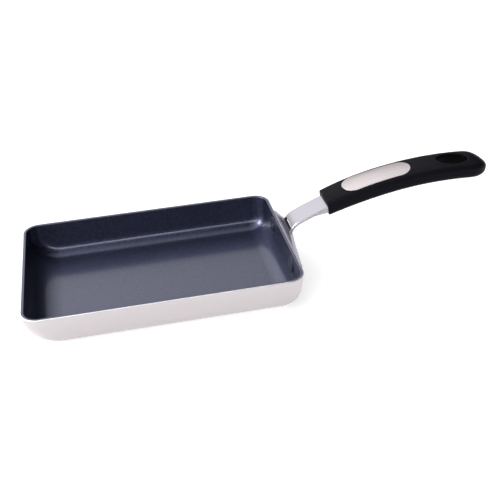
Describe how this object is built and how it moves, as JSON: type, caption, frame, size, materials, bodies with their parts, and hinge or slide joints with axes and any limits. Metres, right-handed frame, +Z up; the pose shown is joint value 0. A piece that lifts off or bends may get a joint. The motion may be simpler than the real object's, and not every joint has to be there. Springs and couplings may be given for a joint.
{
  "type": "tamagoyaki pan",
  "caption": "Rectangular omelette pan in bare aluminium with a speckled grey non-stick lining, a riveted steel neck and a black grip with a steel inlay and a hanging hole.",
  "frame": {"origin": "centre of the flat underside that the pan rests on", "axes": "+X from the pan's middle towards the handle, +Z up out of the pan"},
  "size_m": [0.3426, 0.1258, 0.0708],
  "materials": {
    "aluminium": "satin",
    "lining": "satin",
    "steel": "satin",
    "rivet": "satin",
    "grip": "satin",
    "inlay": "brushed"
  },
  "bodies": {
    "root": {"pan_body": "aluminium", "nonstick_coating": "lining", "neck_bracket": "steel", "rivet_far": "rivet", "rivet_near": "rivet", "grip": "grip", "inlay_plate": "inlay", "tang_nut": "steel", "grip_screw": "steel"}
  },
  "joints": []
}
